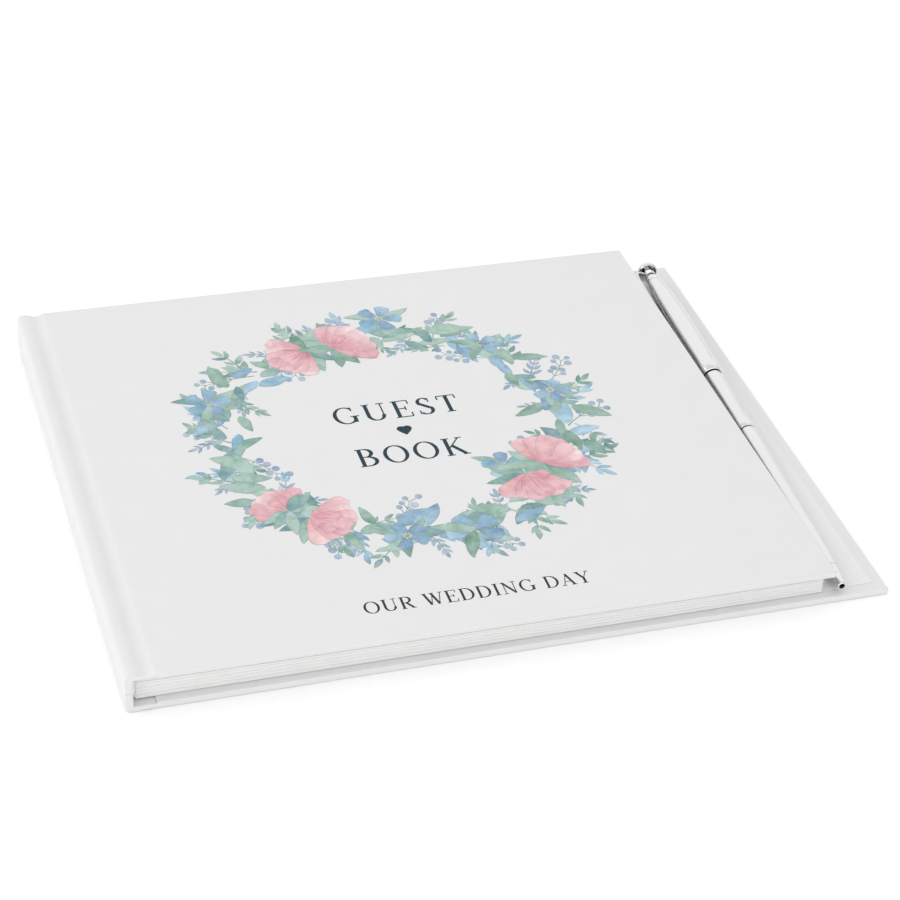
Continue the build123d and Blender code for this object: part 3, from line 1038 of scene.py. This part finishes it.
bore, noseBore = 1.25, 0.7       # radii in millimetres
pen = {
    "twistSeam": 88.5,           # millimetres from the nose to the seam that the twist turns on
    "spinSteps": 96, "smoothAngle": 32,
    # outsides and insides as (radius, station) in millimetres, with the stations measured from the nose
    "nose": [(0.8, 0.0), (0.95, 0.12), (1.12, 0.9), (1.34, 2.9), (1.53, 5.2), (1.6, 6.45)],
    "noseInside": [(1.4, 6.5), (bore, 6.5), (bore, 5.5), (noseBore, 5.3), (noseBore, 0.05)],
    "lower": [(1.52, 6.5), (1.6, 6.6), (1.78, 9.0), (1.95, 13.5), (2.05, 24), (2.14, 41), (2.3, 54),
              (2.4, 62.4), (2.36, 62.75)],
    "lowerInside": [(bore, 62.75), (bore, 6.5)],
    "sleeve": [(2.28, 63.25), (2.38, 63.4), (2.36, 70), (2.4, 80), (2.48, 88.2), (2.42, 88.4)],
    # undercut behind the lower seam, so that its gap looks dark
    "sleeveInside": [(1.8, 88.4), (1.8, 98), (bore, 98), (bore, 62.8), (1.7, 62.8), (1.7, 64.8), (2.2, 64.8),
                     (2.2, 63.3)],
    "upper": [(2.62, 88.8), (2.84, 89.0), (3.02, 96), (3.2, 105), (3.3, 113), (3.22, 120), (2.95, 127),
              (2.5, 132.2), (2.05, 135.6), (1.85, 136.0)],
    "upperInside": [(1.2, 136.0), (1.2, 127.2), (1.95, 127.2), (1.95, 99), (2.56, 92), (2.56, 88.85)],
    "collar": [(1.75, 136.0), (2.0, 136.12), (2.06, 136.5), (2.0, 136.88), (1.75, 137.0)],
    "collarInside": [(1.1, 137.0), (1.1, 136.0)],
    # solid: up the stem, round the recess under the head, and over the dome to the axis
    "crown": [(0.02, 128), (1.05, 128), (1.05, 139.5), (1.6, 139.9), (1.6, 142.2), (1.7, 142.4), (2.0, 142.4),
              (2.12, 142.2), (2.2, 141.2), (2.32, 141.0), (2.6, 141.02), (2.76, 141.3), (2.74, 141.9),
              (2.5, 142.45), (1.9, 142.82), (1.0, 143.0), (0.02, 143.0)],
}
penTurn = joints["pen_twist"]
penLine = Vector(penTurn["axis"]).normalized()
penTip = Vector(penTurn["pos_m"]) - penLine * pen["twistSeam"] * mm
penSide = Vector((-penLine.y, penLine.x, 0)).normalized()       # towards the book
penAxes = Matrix((penSide, penLine.cross(penSide), penLine)).transposed()
penFrame = Matrix.Translation(penTip) @ penAxes.to_4x4()


def easeThrough(points, steps):
    # smooth curve through (radius, station) points that doesn't overshoot where they lie close together
    padded = [Vector(point) for point in (points[0], *points, points[-1])]
    eased = []
    for before, start, end, after in zip(padded, padded[1:], padded[2:], padded[3:]):
        along = (end - start).normalized()
        reach = (end - start).length / 2
        leave = ((start - before).normalized() + along) * reach
        arrive = (along + (after - end).normalized()) * reach
        for j in range(steps):
            t = j / steps
            eased.append(start * (2 * t ** 3 - 3 * t ** 2 + 1) + leave * (t ** 3 - 2 * t ** 2 + t)
                         + end * (3 * t ** 2 - 2 * t ** 3) + arrive * (t ** 3 - t ** 2))
    return eased + [Vector(points[-1])]


def spinPiece(name, outer, inner, body, material, steps, *nodes):
    # outer is eased in steps, and inner closes the profile unless the piece is solid to its axis
    profile = [Vector((r, 0, s)) * mm for r, s in (easeThrough(outer, steps) if steps > 1 else outer)]
    profile += [Vector((r, 0, s)) * mm for r, s in inner]
    bm = bmesh.new()
    verts = [bm.verts.new(p) for p in profile]
    edges = [bm.edges.new(pair) for pair in zip(verts, verts[1:])]
    if inner:
        edges.append(bm.edges.new((verts[-1], verts[0])))
    bmesh.ops.spin(bm, geom=verts + edges, cent=(0, 0, 0), axis=(0, 0, 1), angle=math.tau,
                   steps=pen["spinSteps"], use_merge=True, use_duplicate=False)
    bmesh.ops.remove_doubles(bm, verts=bm.verts, dist=0.001 * mm)
    bmesh.ops.recalc_face_normals(bm, faces=bm.faces)
    bmesh.ops.transform(bm, matrix=penFrame, verts=bm.verts)
    piece = finishPiece(name, bm, material, pen["smoothAngle"])
    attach(piece, body)
    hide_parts(*nodes)


spinPiece("penNoseTip", pen["nose"], pen["noseInside"], "pen_grip", chrome, 4, "pen_nose_tip")
spinPiece("penLowerBarrel", pen["lower"], pen["lowerInside"], "pen_grip", satinChrome, 5, "pen_lower_barrel")
spinPiece("penCentreSleeve", pen["sleeve"], pen["sleeveInside"], "pen_grip", satinChrome, 4,
          "pen_centre_sleeve")
spinPiece("penUpperBarrel", pen["upper"], pen["upperInside"], "pen", satinChrome, 5, "pen_upper_barrel")
spinPiece("penCollar", pen["collar"], pen["collarInside"], "pen", chrome, 2, "pen_collar")
spinPiece("penCrown", pen["crown"], [], "pen", chrome, 1, "pen_crown")

clip = {
    "width": 2.7, "tipWidth": 1.9, "thick": 0.5, "softened": 0.12,
    "tipShares": (0.93, 0.75, 0.42),      # widths of the last three rows, for a rounded tip
    # (distance from the axis, station) along the middle of the strip
    "route": [(1.3, 138.7), (2.1, 139.3), (2.9, 139.8), (3.5, 139.6), (3.9, 138.7), (4.03, 137.2), (4.05, 134),
              (4.04, 128), (4.0, 118), (3.92, 110), (3.86, 107.8), (3.93, 106.8), (4.12, 106.05)],
    "routeSteps": 3,
    # (radius, station) round the band that grips the stem
    "band": [(1.2, 137.15), (1.7, 137.15), (1.76, 137.3), (1.5, 138.4), (1.32, 139.25), (1.2, 139.3)],
    "bandSteps": 64,
}


def makeClip():
    route = easeThrough(clip["route"], clip["routeSteps"])
    last = len(route) - 1
    rows = []
    for i, middle in enumerate(route):
        along = (route[min(i + 1, last)] - route[max(i - 1, 0)]).normalized()
        out = Vector((along.y, -along.x)) * clip["thick"] / 2
        half = (clip["width"] + (clip["tipWidth"] - clip["width"]) * i / last) / 2
        if i > last - 3:
            half *= clip["tipShares"][i - last + 2]
        a, b = middle + out, middle - out
        rows.append([(a.x, -half, a.y), (a.x, half, a.y), (b.x, half, b.y), (b.x, -half, b.y)])
    bm = bmesh.new()
    first, final = growRows(bm, [[Vector(p) * mm for p in row] for row in rows], closed=True)
    bm.faces.new(first)
    bm.faces.new(final)
    bmesh.ops.recalc_face_normals(bm, faces=bm.faces)
    sharp = [edge for edge in bm.edges if edge.calc_face_angle(0) > math.radians(50)]
    bmesh.ops.bevel(bm, geom=sharp, offset=clip["softened"] * mm, affect="EDGES", segments=2, profile=0.5,
                    material=-1, clamp_overlap=True)
    ring = bmesh.new()
    verts = [ring.verts.new((r * mm, 0, s * mm)) for r, s in clip["band"]]
    edges = [ring.edges.new(pair) for pair in zip(verts, verts[1:] + verts[:1])]
    bmesh.ops.spin(ring, geom=verts + edges, cent=(0, 0, 0), axis=(0, 0, 1), angle=math.tau,
                   steps=clip["bandSteps"], use_merge=True, use_duplicate=False)
    bmesh.ops.recalc_face_normals(ring, faces=ring.faces)
    bandMesh = bpy.data.meshes.new("clipBand")
    ring.to_mesh(bandMesh)
    ring.free()
    bm.from_mesh(bandMesh)
    bpy.data.meshes.remove(bandMesh)
    bmesh.ops.transform(bm, matrix=penFrame, verts=bm.verts)
    piece = finishPiece("penClip", bm, chrome, pen["smoothAngle"])
    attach(piece, "pen_clip")
    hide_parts("pen_clip")


makeClip()
print("pen turned")


# CAD pieces that stay as they are

kept = {
    "back_board": board, "front_board": board, "spine_board": board,
    "pen_twist_mechanism": acetal, "refill_plug": acetal, "refill_tube": steel, "refill_tip": boreShadeBrass,
}
for node, material in kept.items():
    slots = bpy.data.objects[node].data.materials
    slots.clear()
    slots.append(material)
print("inner pieces given their materials")
